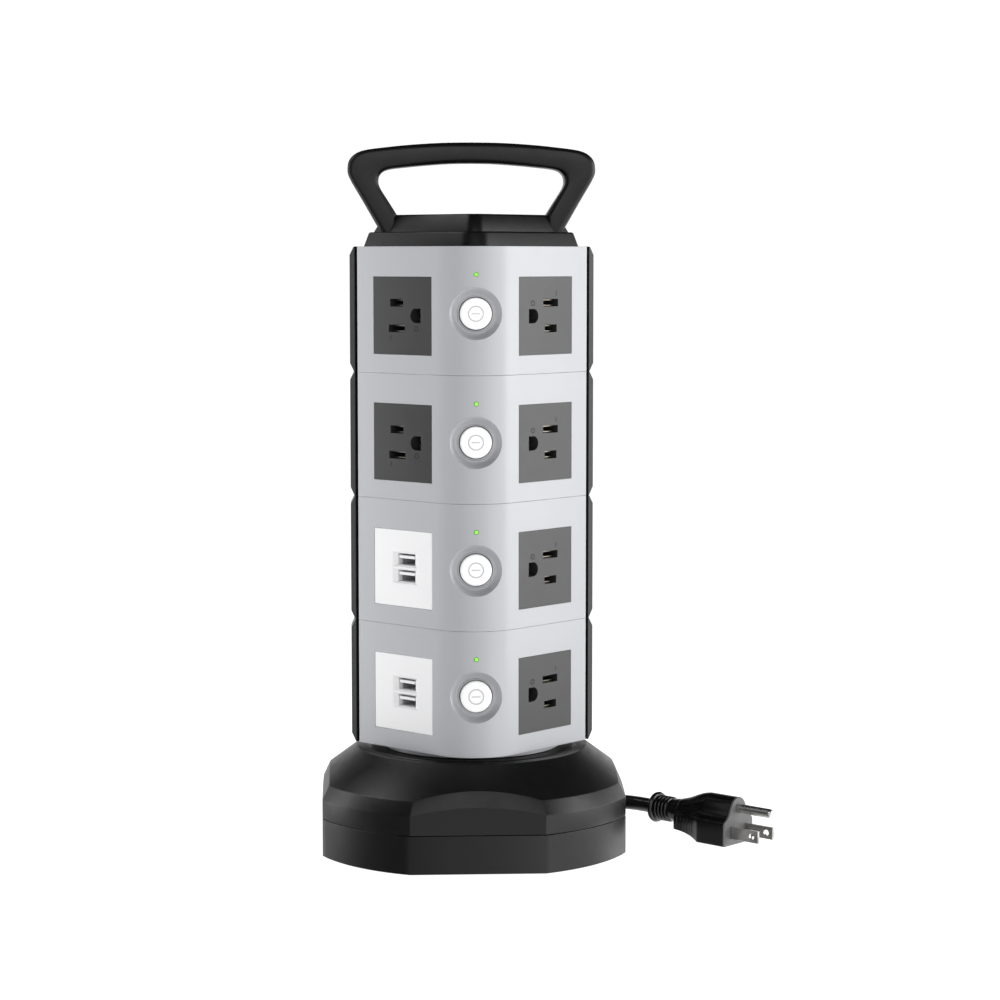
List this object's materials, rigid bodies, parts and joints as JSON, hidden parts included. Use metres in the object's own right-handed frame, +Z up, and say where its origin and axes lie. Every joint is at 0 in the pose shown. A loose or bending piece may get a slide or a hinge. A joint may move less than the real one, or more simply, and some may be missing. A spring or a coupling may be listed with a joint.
{
  "type": "power strip",
  "caption": "Upright tower power strip: stacked silver layers with grounded outlets, USB ports and lit push switches on a swivelling cord-winding base, with a carry handle.",
  "frame": {"origin": "centre of the base on the plane that its feet stand on", "axes": "+Z up along the tower's axis; outlet faces look along -Y, +X, +Y and -X; the switch corner looks between +X and -Y"},
  "size_m": [0.2126, 0.1854, 0.3618],
  "materials": {
    "base_black": "satin fine-textured charcoal plastic",
    "post_black": "satin black plastic",
    "handle_black": "satin black plastic with a fine texture",
    "shell_silver": "satin silver paint on plastic",
    "outlet_grey": "satin dark grey plastic",
    "usb_white": "satin white plastic",
    "button_white": "satin white plastic with a thin grey ring",
    "bezel_silver": "satin silver paint on plastic",
    "led_green": "clear green lens, lit",
    "bearing_white": "natural acetal",
    "rubber_black": "matt rubber",
    "cord_black": "glossy black vinyl",
    "plug_black": "glossy black moulded vinyl",
    "plug_grey": "glossy grey moulded plastic",
    "prong_nickel": "nickel-plated brass",
    "contact_brass": "spring brass",
    "screw_steel": "zinc-plated steel",
    "usb_steel": "bright steel",
    "board_green": "solder mask over glass fibre",
    "drum_grey": "plain moulded plastic"
  },
  "bodies": {
    "base": {"base_lower_shell": "base_black", "base_upper_shell": "base_black", "base_feet": "rubber_black", "base_screws": "screw_steel", "swivel_ring": "bearing_white", "cord_bush": "rubber_black", "cord_coil": "cord_black", "cord_run": "cord_black", "plug_body": "plug_black", "plug_bridge": "plug_grey", "plug_prongs": "prong_nickel"},
    "tower": {"swivel_disc": "shell_silver", "swivel_keeper": "screw_steel", "cord_drum": "drum_grey", "core_1": "post_black", "core_2": "post_black", "core_3": "post_black", "core_4": "post_black", "front_shell_1": "shell_silver", "front_shell_2": "shell_silver", "front_shell_3": "shell_silver", "front_shell_4": "shell_silver", "rear_shell_1": "shell_silver", "rear_shell_2": "shell_silver", "rear_shell_3": "shell_silver", "rear_shell_4": "shell_silver", "outlet_front_1": "outlet_grey", "outlet_front_2": "outlet_grey", "outlet_right_1": "outlet_grey", "outlet_right_2": "outlet_grey", "outlet_right_3": "outlet_grey", "outlet_right_4": "outlet_grey", "outlet_back_1": "outlet_grey", "outlet_back_2": "outlet_grey", "outlet_back_3": "outlet_grey", "outlet_back_4": "outlet_grey", "outlet_left_1": "outlet_grey", "outlet_left_2": "outlet_grey", "outlet_left_3": "outlet_grey", "outlet_left_4": "outlet_grey", "outlet_contacts": "contact_brass", "usb_plate_3": "usb_white", "usb_plate_4": "usb_white", "usb_sockets": "usb_steel", "usb_tongues": "usb_white", "bezel_1": "bezel_silver", "bezel_2": "bezel_silver", "bezel_3": "bezel_silver", "bezel_4": "bezel_silver", "switch_bodies": "post_black", "led_lenses": "led_green", "bus_bars": "contact_brass", "circuit_boards": "board_green", "tie_rods": "screw_steel", "top_cap": "base_black", "handle": "handle_black"},
    "button_1": {"button_1": "button_white"},
    "button_2": {"button_2": "button_white"},
    "button_3": {"button_3": "button_white"},
    "button_4": {"button_4": "button_white"}
  },
  "joints": [
    {"name": "tower_swivel", "type": "hinge", "parent": "base", "child": "tower", "pos_m": [0, 0, 0.0523], "axis": [0, 0, 1], "continuous": true},
    {"name": "button_1_press", "type": "slide", "parent": "tower", "child": "button_1", "axis": [-0.7071, 0.7071, 0], "range_m": [0, 0.0025], "stiffness_N_per_m": 600},
    {"name": "button_2_press", "type": "slide", "parent": "tower", "child": "button_2", "axis": [-0.7071, 0.7071, 0], "range_m": [0, 0.0025], "stiffness_N_per_m": 600},
    {"name": "button_3_press", "type": "slide", "parent": "tower", "child": "button_3", "axis": [-0.7071, 0.7071, 0], "range_m": [0, 0.0025], "stiffness_N_per_m": 600},
    {"name": "button_4_press", "type": "slide", "parent": "tower", "child": "button_4", "axis": [-0.7071, 0.7071, 0], "range_m": [0, 0.0025], "stiffness_N_per_m": 600}
  ]
}
